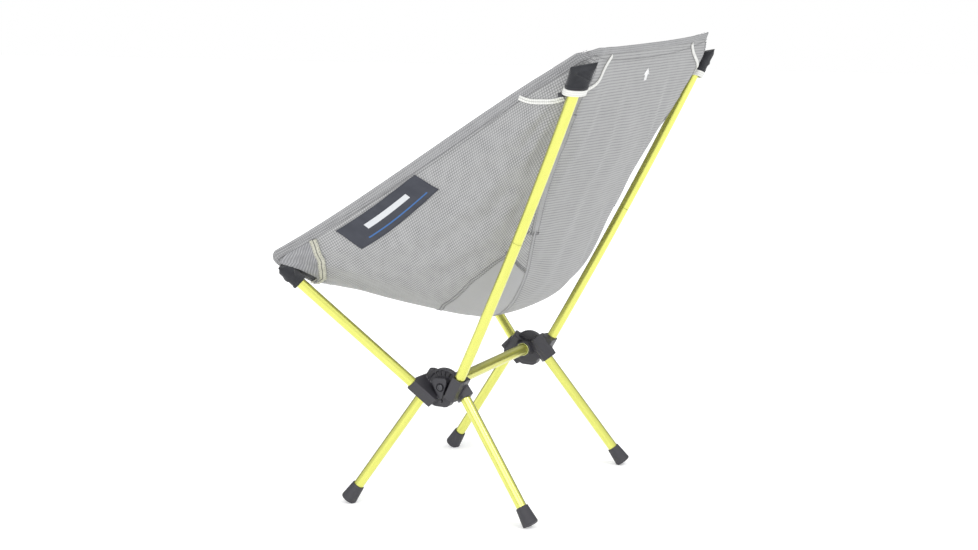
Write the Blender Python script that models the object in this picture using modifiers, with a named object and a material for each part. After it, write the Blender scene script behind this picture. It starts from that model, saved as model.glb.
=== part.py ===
"""Ultralight backpacking chair: two shock-corded side frames on a crossbar, and a sling hung on four poles.

Metres throughout. Up is +Z, the sitter faces -Y and the sitter's left is +X. The origin is on the ground,
under the middle of the chair's outline. Points of a side frame are written as (x outwards, y behind the
hub's pivot, z above the ground). A side is +1 for the left frame and -1 for the right one.
"""

import math

import bmesh
import bpy
from mathutils import Matrix, Vector

NAME = "backpacking_chair"
GAP = 0.0003
LEFT = 1
RIGHT = -1
SIDES = {"left": LEFT, "right": RIGHT}

# The pivot through both hubs, on the crossbar's axis.
PIVOT_Y = -0.0168
PIVOT_Z = 0.1756

# Where each tube's axis starts in the hub, and where it ends.
LEG_ENDS = {
    "front": ((0.1401, -0.0083, 0.1973), (0.1706, -0.1397, 0.0042)),
    "rear": ((0.1401, 0.0066, 0.1945), (0.1788, 0.1421, 0.0043)),
}
POLE_ENDS = {
    "front": ((0.1570, -0.0049, 0.1484), (0.2483, -0.1906, 0.3404)),
    "back": ((0.1570, 0.0122, 0.1565), (0.2437, 0.2364, 0.6147)),
}
BACK_POLE_BOW = 0.005

# Tubes.
TUBE_RADIUS = 0.0072
TUBE_WALL = 0.0009
TUBE_SIDES = 24
CROSSBAR_RADIUS = 0.0080
CROSSBAR_WALL = 0.0011
FERRULE_WALL = 0.0008
FERRULE_REACH = 0.028
BACK_POLE_SEAM = 0.261
BACK_POLE_RINGS = 4

# Sockets: distances from the start of a tube's axis.
LEG_SOCKET = (0.015, 0.043)
POLE_SOCKETS = {"front": (0.020, 0.049), "back": (0.0125, 0.040)}
CORD_HOLE_DEPTH = 0.010
CORD_HOLE_RADIUS = 0.0020
CORD_RADIUS = 0.00125
SOCKET_PLAY = GAP

# Hub moulding. Heights outwards are x values; the disc is centred on the pivot.
HUB_DISC_X = (0.1440, 0.1505)
HUB_DISC_RADIUS = 0.0245
HUB_RIM_X = 0.1530
HUB_RIM_WIDTH = 0.0030
HUB_BASE_X = 0.1475
HUB_BOSS_X = 0.1235
HUB_BOSS_RADIUS = 0.0115
SLEEVE_RADIUS = 0.0094
# How far a sleeve's flat top and its flanks reach, away from the pivot and towards it, and where it starts.
LEG_SLEEVES = {
    "front": {"edges": (0.0030, 0.0030), "flanks": (0.0115, 0.0115), "start": 0.006},
    "rear": {"edges": (0.0030, 0.0030), "flanks": (0.0148, 0.0115), "start": 0.006},
}
POLE_SLEEVES = {
    "front": {"edges": (0.0068, 0.0090), "flanks": (0.0115, 0.0115), "start": 0.010},
    "back": {"edges": (0.0068, 0.0075), "flanks": (0.0088, 0.0115), "start": 0.006},
}
SHIELD_X = 0.1630
SHIELD_LOBES = ((0.0, -0.0140, 0.0030), (-0.0075, 0.0065, 0.0060), (0.0045, 0.0075, 0.0058))
KEEL_LOBES = ((-0.0085, -0.0190, 0.0088), (0.0050, -0.0195, 0.0088))
KEEL_X = (0.1450, 0.1590)
BUMP = (0.0005, -0.0195, 0.0026)
RIB_ANGLES = (40, 61, 82, 103, 124)
RIB_THICKNESS = 0.0016

# Pivot pin and the plug that it screws into.
PIN_SHAFT_RADIUS = 0.0025
PIN_HEAD_RADIUS = 0.0044
PIN_HEAD_HEIGHT = 0.0022
PIN_RECESS = (0.0058, 0.0014)
PIN_END_X = 0.1300
CROSSBAR_END_X = 0.1420
PLUG_START_X = 0.1210

# Rubber feet, turned about each leg's axis: distances back from the leg's end.
FOOT_HEIGHT = 0.027
FOOT_TOP_RADIUS = 0.0088
FOOT_RADIUS = 0.0112
FOOT_SOLE = 0.0045

# Pole tips and the fabric pockets over them.
CAP_RADIUS = 0.0077
CAP_HEIGHT = 0.0032
CAP_STEM = 0.010
POCKET_HALF_THICKNESS = 0.0096
POCKET_TAB = 0.006
POCKET_TAB_HALF_THICKNESS = 0.0014
POCKETS = {
    "front": {"length": 0.029, "half_width": 0.0115, "broad": (1.0, 0.0, 0.0), "slopes": (0.0, 0.0)},
    "back": {"length": 0.0255, "half_width": 0.0145, "broad": (-0.42, 0.91, 0.0), "slopes": (0.26, 0.53)},
}
BAND_HEIGHT = 0.0085
BAND_EXTRA = 0.0006

# Sling: its middle line from the front hem to the top hem in (y, z), and its side hem in (x, y, z).
SLING_MIDDLE = ((-0.166, 0.294), (0.064, 0.225), (0.099, 0.213), (0.246, 0.636))
SLING_HEM = ((0.240, -0.217, 0.356), (0.224, -0.086, 0.428), (0.220, 0.091, 0.563), (0.236, 0.241, 0.642))
SLING_BULGES = ((0.013, 0.58, 0.13), (0.006, 0.885, 0.055))
SLING_WIDTH_POWER = (1.95, 2.30)
SLING_DEPTH_POWER = (2.05, 2.50)
SLING_THICKNESS = 0.0020
SLING_ROWS = 17
SLING_COLUMNS = 22
WING_START_X = 0.118

# Sewn patch on the left wing: how far round the section and how far along the hem it reaches.
PATCH_ACROSS = (0.835, 0.955)
PATCH_ALONG = (0.225, 0.480)
PATCH_CELLS = (4, 10)
PATCH_THICKNESS = 0.0008
PATCH_CLEARANCE = 0.0012

COLOURS = {
    "anodised": ((0.80, 0.85, 0.12), 0.30, 0.85),
    "hub_resin": ((0.055, 0.055, 0.060), 0.50, 0.0),
    "rubber": ((0.045, 0.045, 0.050), 0.75, 0.0),
    "steel": ((0.16, 0.16, 0.17), 0.35, 1.0),
    "cord": ((0.05, 0.05, 0.05), 0.80, 0.0),
    "ripstop": ((0.42, 0.43, 0.44), 0.85, 0.0),
    "pocket_fabric": ((0.035, 0.037, 0.045), 0.80, 0.0),
    "webbing": ((0.80, 0.80, 0.78), 0.85, 0.0),
    "patch_fabric": ((0.050, 0.055, 0.065), 0.80, 0.0),
}


def clear_scene():
    """Removes whatever the scene holds."""
    for leftover in list(bpy.data.objects):
        bpy.data.objects.remove(leftover)


def collection(name):
    """A new collection linked to the scene."""
    made = bpy.data.collections.new(name)
    bpy.context.scene.collection.children.link(made)
    return made


def make_material(name):
    """A Principled material with the named colour, roughness and metallic value."""
    rgb, roughness, metallic = COLOURS[name]
    made = bpy.data.materials.new(name)
    made.use_nodes = True
    shader = made.node_tree.nodes["Principled BSDF"]
    shader.inputs["Base Color"].default_value = (*rgb, 1.0)
    shader.inputs["Roughness"].default_value = roughness
    shader.inputs["Metallic"].default_value = metallic
    return made


clear_scene()
PARTS = collection(NAME)
CUTTERS = collection("cutters")
MATERIALS = {name: make_material(name) for name in COLOURS}


def place(x, y, z, side=LEFT):
    """A side-frame point in the chair's own coordinates."""
    return Vector((side * x, PIVOT_Y + y, z))


def frame_empty(name, side):
    """The empty that a side frame's pieces hang on, at that hub's pivot."""
    empty = bpy.data.objects.new(name, None)
    empty.location = place(HUB_DISC_X[0], 0.0, PIVOT_Z, side)
    PARTS.objects.link(empty)
    return empty


FRAMES = {side: frame_empty(f"{name}_frame", side) for name, side in SIDES.items()}


def add_part(name, mesh, material, matrix=Matrix.Identity(4), side=LEFT):
    """A piece of the chair, hung on its side frame's empty."""
    part = bpy.data.objects.new(name, mesh)
    PARTS.objects.link(part)
    part.data.materials.append(MATERIALS[material])
    part.parent = FRAMES[side]
    part.matrix_parent_inverse = Matrix.Translation(-FRAMES[side].location)
    part.matrix_basis = matrix
    return part


def add_cutter(name, mesh):
    """A helper solid that other pieces are joined with or cut by."""
    cutter = bpy.data.objects.new(name, mesh)
    CUTTERS.objects.link(cutter)
    cutter.hide_render = True
    cutter.display_type = "WIRE"
    return cutter


def combine(part, operation, cutter):
    """Adds a Boolean step to the part."""
    step = part.modifiers.new(operation.lower(), "BOOLEAN")
    step.operation = operation
    step.solver = "EXACT"
    step.object = cutter


def along(start, end):
    """The placement whose origin is start and whose +Z points to end."""
    return Matrix.Translation(start) @ (end - start).to_track_quat("Z", "Y").to_matrix().to_4x4()


def mesh_from(name, work):
    """Turns a bmesh into a mesh with smooth faces and sharp edges."""
    bmesh.ops.recalc_face_normals(work, faces=work.faces)
    mesh = bpy.data.meshes.new(name)
    work.to_mesh(mesh)
    work.free()
    mesh.shade_smooth()
    mesh.set_sharp_from_angle(angle=math.radians(35))
    return mesh


def rod_mesh(name, start, end, radius, sides=TUBE_SIDES):
    """A solid round rod between two points."""
    work = bmesh.new()
    depth = (end - start).length
    middle = along(start, end) @ Matrix.Translation((0, 0, depth / 2))
    bmesh.ops.create_cone(
        work, cap_ends=True, segments=sides, radius1=radius, radius2=radius, depth=depth, matrix=middle
    )
    return mesh_from(name, work)


def hull_mesh(name, points):
    """The convex solid around a set of points."""
    work = bmesh.new()
    for position in points:
        work.verts.new(position)
    bmesh.ops.convex_hull(work, input=work.verts)
    loose = [v for v in work.verts if not v.link_faces]
    bmesh.ops.delete(work, geom=loose, context="VERTS")
    flat = math.radians(0.5)
    bmesh.ops.dissolve_limit(work, angle_limit=flat, verts=work.verts, edges=work.edges)
    return mesh_from(name, work)


def turned(name, profile, material, matrix, side, sides=TUBE_SIDES, closed=False):
    """A piece turned about its own Z from a profile of (radius, height) points."""
    mesh = bpy.data.meshes.new(name)
    count = len(profile)
    edges = [(i, i + 1) for i in range(count - 1)]
    if closed:
        edges.append((count - 1, 0))
    mesh.from_pydata([(radius, 0, height) for radius, height in profile], edges, [])
    part = add_part(name, mesh, material, matrix, side)
    screw = part.modifiers.new("turn", "SCREW")
    screw.axis = "Z"
    screw.steps = sides
    screw.render_steps = sides
    screw.use_merge_vertices = True
    screw.merge_threshold = 0.00002
    screw.use_smooth_shade = True
    return part


def straight_tube(name, radius, wall, bottom, top, matrix, side):
    """A round tube along its own Z."""
    profile = [(radius, top), (radius, bottom), (radius - wall, bottom), (radius - wall, top)]
    return turned(name, profile, "anodised", matrix, side, closed=True)


def leg_line(which, side):
    """The start and end of a leg's axis."""
    start, end = LEG_ENDS[which]
    return place(*start, side), place(*end, side)


def pole_point(which, side, distance):
    """A point on an upper pole's axis, which bows backwards on the back poles."""
    start, end = (place(*p, side) for p in POLE_ENDS[which])
    length = (end - start).length
    share = distance / length
    bow = BACK_POLE_BOW if which == "back" else 0.0
    return start.lerp(end, share) + Vector((0, 4 * bow * share * (1 - share), 0))


def pole_length(which):
    """The length of an upper pole's axis, from the hub to the tip."""
    start, end = (Vector(p) for p in POLE_ENDS[which])
    return (end - start).length


def bent_curve(name, points, radius, sides, caps):
    """A round bar swept along a line of points, as a mesh."""
    curve = bpy.data.curves.new(name, "CURVE")
    curve.dimensions = "3D"
    curve.bevel_depth = radius
    curve.bevel_resolution = (sides - 4) // 2
    curve.use_fill_caps = caps
    spline = curve.splines.new("POLY")
    spline.points.add(len(points) - 1)
    for slot, position in zip(spline.points, points):
        slot.co = (*position, 1.0)
    swept = bpy.data.objects.new(name, curve)
    CUTTERS.objects.link(swept)
    bpy.context.view_layer.update()
    mesh = bpy.data.meshes.new_from_object(swept.evaluated_get(bpy.context.evaluated_depsgraph_get()))
    bpy.data.objects.remove(swept)
    work = bmesh.new()
    work.from_mesh(mesh)
    bmesh.ops.remove_doubles(work, verts=work.verts, dist=0.00001)
    return mesh_from(name, work)


def pole_points(which, side, low, high, rings):
    """Evenly spaced points along a stretch of an upper pole."""
    return [pole_point(which, side, low + (high - low) * i / (rings - 1)) for i in range(rings)]


def bent_tube(name, which, side, low, high, radius, wall, material, sides=TUBE_SIDES):
    """A hollow stretch of an upper pole, between two distances from the hub."""
    mesh = bent_curve(name, pole_points(which, side, low, high, BACK_POLE_RINGS), radius, sides, False)
    part = add_part(name, mesh, material, side=side)
    shell = part.modifiers.new("wall", "SOLIDIFY")
    shell.thickness = wall
    shell.offset = -1
    shell.use_rim = True
    return part


def build_crossbar():
    """The tube between the hubs, with a plug pressed into each end for the pivot pins."""
    centre = place(0, 0, PIVOT_Z)
    across = Matrix.Translation(centre) @ Matrix.Rotation(math.pi / 2, 4, "Y")
    straight_tube("crossbar", CROSSBAR_RADIUS, CROSSBAR_WALL, -CROSSBAR_END_X, CROSSBAR_END_X, across, LEFT)
    bore = CROSSBAR_RADIUS - CROSSBAR_WALL - GAP
    hole = PIN_SHAFT_RADIUS + GAP
    for word, side in SIDES.items():
        turn = Matrix.Rotation(side * math.pi / 2, 4, "Y")
        low = PLUG_START_X
        high = CROSSBAR_END_X - 0.001
        profile = [(bore, high), (bore, low), (hole, low), (hole, high)]
        matrix = Matrix.Translation(centre) @ turn
        turned(f"crossbar_plug_{word}", profile, "hub_resin", matrix, LEFT, closed=True)


def circle_points(centre, axis, radius, sides=16):
    """Points round a circle about an axis."""
    frame = Matrix.Translation(centre) @ axis.to_track_quat("Z", "Y").to_matrix().to_4x4()
    turns = [2 * math.pi * i / sides for i in range(sides)]
    return [frame @ Vector((radius * math.cos(t), radius * math.sin(t), 0)) for t in turns]


def sleeve_points(start, end, sleeve, high, side, outwards):
    """A socket's outer form: round about the tube, flat on top, flanks reaching the hub's middle plane."""
    axis = (end - start).normalized()
    flank = Vector((0, -axis.z, axis.y)).normalized()
    if flank.dot(place(0, 0, PIVOT_Z) - start) < 0:
        flank.negate()
    up = axis.cross(flank)
    if up.x * side * outwards < 0:
        up.negate()
    points = []
    for distance in (sleeve["start"], high):
        centre = start + axis * distance
        points += circle_points(centre, axis, SLEEVE_RADIUS)
        base = Vector((side * HUB_BASE_X, centre.y, centre.z))
        for way, edge, reach in zip((-1, 1), sleeve["edges"], sleeve["flanks"]):
            points.append(centre + flank * way * edge + up * SLEEVE_RADIUS)
            points.append(base + flank * way * reach)
            points.append(base + flank * way * reach + Vector((side * outwards * -0.0025, 0, 0)))
    return points


def disc_mesh(name, side, low, high, y, z, radius, sides=36):
    """A disc or boss of the hub, lying across the pivot's direction."""
    return rod_mesh(name, place(low, y, PIVOT_Z + z, side), place(high, y, PIVOT_Z + z, side), radius, sides)


def box_mesh(name, matrix, size):
    """A box with the given size, centred on a placement."""
    work = bmesh.new()
    bmesh.ops.create_cube(work, size=1.0, matrix=matrix @ Matrix.Diagonal((*size, 1.0)))
    return mesh_from(name, work)


def hub_solids(word, side):
    """The solids that make up one hub's outside."""
    solids = []
    for which in LEG_ENDS:
        start, end = leg_line(which, side)
        points = sleeve_points(start, end, LEG_SLEEVES[which], LEG_SOCKET[1], side, -1)
        solids.append(hull_mesh(f"leg_sleeve_{which}_{word}", points))
    for which, (_, mouth) in POLE_SOCKETS.items():
        start = pole_point(which, side, 0)
        end = pole_point(which, side, mouth)
        points = sleeve_points(start, end, POLE_SLEEVES[which], mouth, side, 1)
        solids.append(hull_mesh(f"pole_sleeve_{which}_{word}", points))
    solids.append(disc_mesh(f"boss_{word}", side, HUB_BOSS_X, HUB_BASE_X, 0, 0, HUB_BOSS_RADIUS))
    lobes = []
    for y, z, radius in SHIELD_LOBES:
        for x, edge in ((HUB_BASE_X, radius), (SHIELD_X - 0.001, radius), (SHIELD_X, radius - 0.001)):
            lobes += circle_points(place(x, y, PIVOT_Z + z, side), Vector((1, 0, 0)), edge)
    solids.append(hull_mesh(f"shield_{word}", lobes))
    keel = []
    for y, z, radius in KEEL_LOBES:
        for x in KEEL_X:
            keel += circle_points(place(x, y, PIVOT_Z + z, side), Vector((1, 0, 0)), radius)
    solids.append(hull_mesh(f"keel_{word}", keel))
    y, z, radius = BUMP
    solids.append(disc_mesh(f"bump_{word}", side, HUB_BASE_X, SHIELD_X + 0.0015, y, z, radius, 16))
    middle = (HUB_DISC_RADIUS + HUB_BOSS_RADIUS) / 2
    reach = HUB_DISC_RADIUS - HUB_BOSS_RADIUS
    height = HUB_RIM_X - HUB_BASE_X
    for angle in RIB_ANGLES:
        turn = math.radians(angle)
        level = PIVOT_Z + middle * math.sin(turn)
        spot = place(HUB_BASE_X + height / 2, middle * math.cos(turn), level, side)
        matrix = Matrix.Translation(spot) @ Matrix.Rotation(turn, 4, "X")
        solids.append(box_mesh(f"rib_{angle}_{word}", matrix, (height, reach, RIB_THICKNESS)))
    return solids


def build_hub(word, side):
    """One hub: a moulding with four sockets, a recess for the crossbar and a hole for the pivot pin."""
    disc = disc_mesh(f"hub_{word}", side, HUB_DISC_X[0], HUB_RIM_X, 0, 0, HUB_DISC_RADIUS)
    hub = add_part(f"hub_{word}", disc, "hub_resin", side=side)
    well = HUB_DISC_RADIUS - HUB_RIM_WIDTH
    tray = disc_mesh(f"tray_{word}", side, HUB_DISC_X[1], HUB_RIM_X + 0.002, 0, 0, well)
    combine(hub, "DIFFERENCE", add_cutter(f"tray_{word}", tray))
    for solid in hub_solids(word, side):
        combine(hub, "UNION", add_cutter(solid.name, solid))
    cuts = []
    bore = TUBE_RADIUS + SOCKET_PLAY
    lines = []
    for which in LEG_ENDS:
        start, end = leg_line(which, side)
        axis = (end - start).normalized()
        lines.append((f"leg_{which}_{word}", start, axis, LEG_SOCKET))
    for which, reach in POLE_SOCKETS.items():
        start = pole_point(which, side, 0)
        axis = (pole_point(which, side, reach[1]) - start).normalized()
        lines.append((f"pole_{which}_{word}", start, axis, reach))
    for name, start, axis, (floor, mouth) in lines:
        low = start + axis * (floor - GAP)
        cuts.append(rod_mesh(f"socket_{name}", low, start + axis * (mouth + 0.010), bore))
        blind = start + axis * (floor - CORD_HOLE_DEPTH)
        shallow = start + axis * (floor + 0.004)
        cuts.append(rod_mesh(f"cord_hole_{name}", blind, shallow, CORD_HOLE_RADIUS, 12))
    recess = CROSSBAR_RADIUS + GAP
    cuts.append(disc_mesh(f"recess_{word}", side, HUB_BOSS_X - 0.010, CROSSBAR_END_X + GAP, 0, 0, recess, 32))
    hole = PIN_SHAFT_RADIUS + GAP
    cuts.append(disc_mesh(f"pin_hole_{word}", side, PIN_END_X, SHIELD_X + 0.010, 0, 0, hole, 16))
    radius, depth = PIN_RECESS
    cuts.append(disc_mesh(f"head_recess_{word}", side, SHIELD_X - depth, SHIELD_X + 0.010, 0, 0, radius, 32))
    for cut in cuts:
        combine(hub, "DIFFERENCE", add_cutter(cut.name, cut))


def build_pivot_pin(word, side):
    """The screw that holds a hub on the crossbar, with a low domed head."""
    matrix = Matrix.Translation(place(0, 0, PIVOT_Z, side)) @ Matrix.Rotation(side * math.pi / 2, 4, "Y")
    seat = SHIELD_X - PIN_RECESS[1] + GAP
    profile = [(0, seat + PIN_HEAD_HEIGHT)]
    for step in range(1, 4):
        turn = math.radians(90 * step / 3)
        radius = PIN_HEAD_RADIUS * math.sin(turn)
        profile.append((radius, seat + 0.0010 + (PIN_HEAD_HEIGHT - 0.0010) * math.cos(turn)))
    profile += [(PIN_HEAD_RADIUS, seat), (PIN_SHAFT_RADIUS, seat)]
    profile += [(PIN_SHAFT_RADIUS, PIN_END_X), (0, PIN_END_X)]
    turned(f"pivot_pin_{word}", profile, "steel", matrix, side, 16)


def foot_profile(length):
    """The outline of a rubber foot, from the floor of its bore round to its sole."""
    top = length - FOOT_HEIGHT
    bore = TUBE_RADIUS + GAP
    floor = length - FOOT_SOLE
    profile = [(0, floor), (bore, floor), (bore, top), (FOOT_TOP_RADIUS - 0.0006, top)]
    profile.append((FOOT_TOP_RADIUS, top + 0.0006))
    corner = 0.0022
    rim = length - corner
    profile.append((FOOT_RADIUS, rim))
    for step in range(1, 4):
        turn = math.radians(90 * step / 3)
        profile.append((FOOT_RADIUS - corner * (1 - math.cos(turn)), rim + corner * math.sin(turn)))
    profile.append((0, length))
    return profile


def build_leg(which, word, side):
    """A leg tube with its rubber foot and the shock cord that draws it into its socket."""
    start, end = leg_line(which, side)
    matrix = along(start, end)
    length = (end - start).length
    straight_tube(
        f"leg_{which}_{word}", TUBE_RADIUS, TUBE_WALL, LEG_SOCKET[0], length - FOOT_SOLE - GAP, matrix, side
    )
    foot = turned(f"foot_{which}_{word}", list(reversed(foot_profile(length))), "rubber", matrix, side)
    ground = box_mesh(f"ground_{which}_{word}", Matrix.Translation((end.x, end.y, -0.02)), (0.08, 0.08, 0.04))
    combine(foot, "DIFFERENCE", add_cutter(ground.name, ground))
    low = start.lerp(end, (LEG_SOCKET[0] - CORD_HOLE_DEPTH + 0.001) / length)
    high = start.lerp(end, (length - 0.012) / length)
    add_part(f"cord_leg_{which}_{word}", rod_mesh("cord", low, high, CORD_RADIUS, 8), "cord", side=side)


def build_front_pole(word, side):
    """The seat pole from the hub up to the front corner."""
    start = pole_point("front", side, 0)
    end = pole_point("front", side, pole_length("front"))
    low, _ = POLE_SOCKETS["front"]
    high = pole_length("front") - CAP_HEIGHT - GAP
    straight_tube(f"front_pole_{word}", TUBE_RADIUS, TUBE_WALL, low, high, along(start, end), side)


def build_back_pole(word, side):
    """The back pole: a lower and an upper section that meet over a ferrule."""
    low, _ = POLE_SOCKETS["back"]
    seam = BACK_POLE_SEAM
    high = pole_length("back") - CAP_HEIGHT - GAP
    radius = TUBE_RADIUS
    bent_tube(f"back_pole_lower_{word}", "back", side, low, seam - GAP / 2, radius, TUBE_WALL, "anodised")
    bent_tube(f"back_pole_upper_{word}", "back", side, seam + GAP / 2, high, radius, TUBE_WALL, "anodised")
    inner = TUBE_RADIUS - TUBE_WALL - GAP
    reach = FERRULE_REACH
    low = seam - reach
    bent_tube(f"back_pole_ferrule_{word}", "back", side, low, seam + reach, inner, FERRULE_WALL, "steel", 16)


def build_pole_end(which, word, side):
    """The cap on a pole's tip and the shock cord inside the pole."""
    length = pole_length(which)
    tip = pole_point(which, side, length)
    below = pole_point(which, side, length - POCKETS[which]["length"])
    axis = (tip - below).normalized()
    stem = TUBE_RADIUS - TUBE_WALL - GAP
    profile = [(0, 0)]
    for step in range(1, 4):
        turn = math.radians(90 * step / 3)
        profile.append((CAP_RADIUS * math.sin(turn), -CAP_HEIGHT * 0.6 * (1 - math.cos(turn))))
    foot = -CAP_HEIGHT - CAP_STEM
    profile += [(CAP_RADIUS, -CAP_HEIGHT), (stem, -CAP_HEIGHT), (stem, foot), (0, foot)]
    turned(f"tip_cap_{which}_{word}", profile, "hub_resin", along(tip, tip + axis), side, 20)
    low = POLE_SOCKETS[which][0] - CORD_HOLE_DEPTH + 0.001
    high = length - CAP_HEIGHT - CAP_STEM - GAP
    rings = 2 if which == "front" else 7
    cord = bent_curve("cord", pole_points(which, side, low, high, rings), CORD_RADIUS, 8, True)
    add_part(f"cord_pole_{which}_{word}", cord, "cord", side=side)


def ellipse_points(centre, axis, broad, half_width, half_thickness, slope=0.0, sides=18):
    """Points round an ellipse across an axis, its long way along broad and leaning up the axis by a slope."""
    thin = axis.cross(broad).normalized()
    turns = [2 * math.pi * i / sides for i in range(sides)]
    leaning = (broad + axis * slope) * half_width
    return [centre + leaning * math.cos(t) + thin * half_thickness * math.sin(t) for t in turns]


def pocket_axes(which, side):
    """A pocket's tip, its direction along the pole and its broad direction."""
    length = pole_length(which)
    tip = pole_point(which, side, length)
    axis = (tip - pole_point(which, side, length - POCKETS[which]["length"])).normalized()
    x, y, z = POCKETS[which]["broad"]
    broad = Vector((side * x, y, z))
    broad = (broad - axis * broad.dot(axis)).normalized()
    return tip, axis, broad


def build_pocket(which, word, side):
    """The fabric pocket over a pole's tip, sewn flat beyond the tip where it meets the sling."""
    tip, axis, broad = pocket_axes(which, side)
    length = POCKETS[which]["length"]
    half_width = POCKETS[which]["half_width"]
    low, high = POCKETS[which]["slopes"]
    points = ellipse_points(tip - axis * length, axis, broad, half_width, POCKET_HALF_THICKNESS, low)
    points += ellipse_points(tip + axis * 0.001, axis, broad, half_width, POCKET_HALF_THICKNESS - 0.0005)
    edge = tip + axis * POCKET_TAB
    points += ellipse_points(edge, axis, broad, half_width, POCKET_TAB_HALF_THICKNESS, high)
    name = f"pocket_{which}_{word}"
    pocket = add_part(name, hull_mesh(name, points), "pocket_fabric", side=side)
    bore = rod_mesh(
        f"pocket_bore_{which}_{word}", tip - axis * (length + 0.02), tip + axis * GAP, CAP_RADIUS + GAP
    )
    combine(pocket, "DIFFERENCE", add_cutter(bore.name, bore))


def build_band(word, side):
    """The webbing band round a back pocket's mouth."""
    tip, axis, broad = pocket_axes("back", side)
    top = POCKETS["back"]["length"] + GAP
    half_width = POCKETS["back"]["half_width"] + BAND_EXTRA
    points = []
    for distance in (top, top + BAND_HEIGHT):
        centre = tip - axis * distance
        slope = POCKETS["back"]["slopes"][0]
        points += ellipse_points(centre, axis, broad, half_width, POCKET_HALF_THICKNESS + BAND_EXTRA, slope)
    band = add_part(f"pocket_band_{word}", hull_mesh(f"pocket_band_{word}", points), "webbing", side=side)
    low = tip - axis * (top + BAND_HEIGHT + 0.02)
    bore = rod_mesh(f"band_bore_{word}", low, tip - axis * (top - 0.02), TUBE_RADIUS + 2 * GAP)
    combine(band, "DIFFERENCE", add_cutter(bore.name, bore))


def cubic(points, share):
    """A point on a cubic curve given by its end points and handles."""
    rest = 1 - share
    weights = (rest**3, 3 * rest**2 * share, 3 * rest * share**2, share**3)
    return [sum(w * p[axis] for w, p in zip(weights, points)) for axis in range(len(points[0]))]


def sling_middle(forward):
    """A point on the sling's middle line in (y, z), with its bulges behind the seat and the shoulders."""
    y, z = cubic(SLING_MIDDLE, forward)
    after_y, after_z = cubic(SLING_MIDDLE, forward + 0.002)
    before_y, before_z = cubic(SLING_MIDDLE, forward - 0.002)
    ahead = Vector((after_y - before_y, after_z - before_z)).normalized()
    depth = sum(d * math.exp(-(((forward - centre) / width) ** 2)) for d, centre, width in SLING_BULGES)
    return y + ahead.y * depth, z - ahead.x * depth


def sling_point(across, forward):
    """A point on the sling: across runs from -1 to 1 between the side hems, forward from 0 in front to 1."""
    middle_y, middle_z = sling_middle(forward)
    hem_x, hem_y, hem_z = cubic(SLING_HEM, forward)
    width_power = SLING_WIDTH_POWER[0] + (SLING_WIDTH_POWER[1] - SLING_WIDTH_POWER[0]) * forward
    depth_power = SLING_DEPTH_POWER[0] + (SLING_DEPTH_POWER[1] - SLING_DEPTH_POWER[0]) * forward
    turn = abs(across) * math.pi / 2
    wide = math.sin(turn) ** (2 / width_power)
    risen = 1 - max(math.cos(turn), 0.0) ** (2 / depth_power)
    y = middle_y + (hem_y - middle_y) * risen
    z = middle_z + (hem_z - middle_z) * risen
    return Vector((math.copysign(hem_x * wide, across), PIVOT_Y + y, z))


def sling_mesh(name, acrosses, forwards, lift=0.0):
    """An open sheet on the sling, or lifted off its outside by a distance."""
    work = bmesh.new()
    step = 0.002
    rows = []
    for forward in forwards:
        row = []
        for across in acrosses:
            spot = sling_point(across, forward)
            if lift:
                run = sling_point(across, forward + step) - sling_point(across, forward - step)
                spread = sling_point(across + step, forward) - sling_point(across - step, forward)
                spot += run.cross(spread).normalized() * lift
            row.append(work.verts.new(spot))
        rows.append(row)
    for low, high in zip(rows, rows[1:]):
        for i in range(len(low) - 1):
            work.faces.new((low[i], low[i + 1], high[i + 1], high[i]))
    return mesh_from(name, work)


def solidify(part, thickness):
    """Gives an open sheet its thickness, half on each side."""
    shell = part.modifiers.new("thickness", "SOLIDIFY")
    shell.thickness = thickness
    shell.offset = 0
    shell.use_even_offset = True


def build_sling():
    """The sling in three panels: the middle of the seat and back, and a wing on each side."""
    acrosses = [-1 + 2 * i / SLING_COLUMNS for i in range(SLING_COLUMNS + 1)]
    forwards = [i / SLING_ROWS for i in range(SLING_ROWS + 1)]
    far = 0.35
    inner = WING_START_X
    panels = {
        "sling_middle": (-inner, inner, LEFT),
        "sling_wing_left": (inner + GAP, far, LEFT),
        "sling_wing_right": (-far, -inner - GAP, RIGHT),
    }
    for name, (low, high, side) in panels.items():
        panel = add_part(name, sling_mesh(name, acrosses, forwards), "ripstop", side=side)
        solidify(panel, SLING_THICKNESS)
        centre = Matrix.Translation(((low + high) / 2, 0, 0.45))
        block = box_mesh(f"{name}_block", centre, (high - low, 1.2, 1.2))
        combine(panel, "INTERSECT", add_cutter(block.name, block))


def build_patch():
    """The sewn patch on the outside of the left wing."""
    work_low, work_high = PATCH_ACROSS
    across_cells, along_cells = PATCH_CELLS
    acrosses = [work_low + (work_high - work_low) * i / across_cells for i in range(across_cells + 1)]
    low, high = PATCH_ALONG
    forwards = [low + (high - low) * i / along_cells for i in range(along_cells + 1)]
    lift = SLING_THICKNESS / 2 + PATCH_THICKNESS / 2 + PATCH_CLEARANCE
    patch = add_part("side_patch", sling_mesh("side_patch", acrosses, forwards, lift), "patch_fabric")
    solidify(patch, PATCH_THICKNESS)


def build():
    """Every piece of the chair."""
    build_crossbar()
    for word, side in SIDES.items():
        build_hub(word, side)
        build_pivot_pin(word, side)
        for which in LEG_ENDS:
            build_leg(which, word, side)
        build_front_pole(word, side)
        build_back_pole(word, side)
        build_band(word, side)
        for which in POLE_ENDS:
            build_pole_end(which, word, side)
            build_pocket(which, word, side)
    build_sling()
    build_patch()


build()
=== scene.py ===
"""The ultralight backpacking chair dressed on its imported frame: finished tubes and mouldings, a stretched ripstop
sling with hems, seams, tapes and pockets, and a plain studio. Metres, +Z up, the sitter faces -Y, +X is their left.
"""

import math

import bmesh
import bpy
import numpy as np
from mathutils import Matrix, Vector


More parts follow.
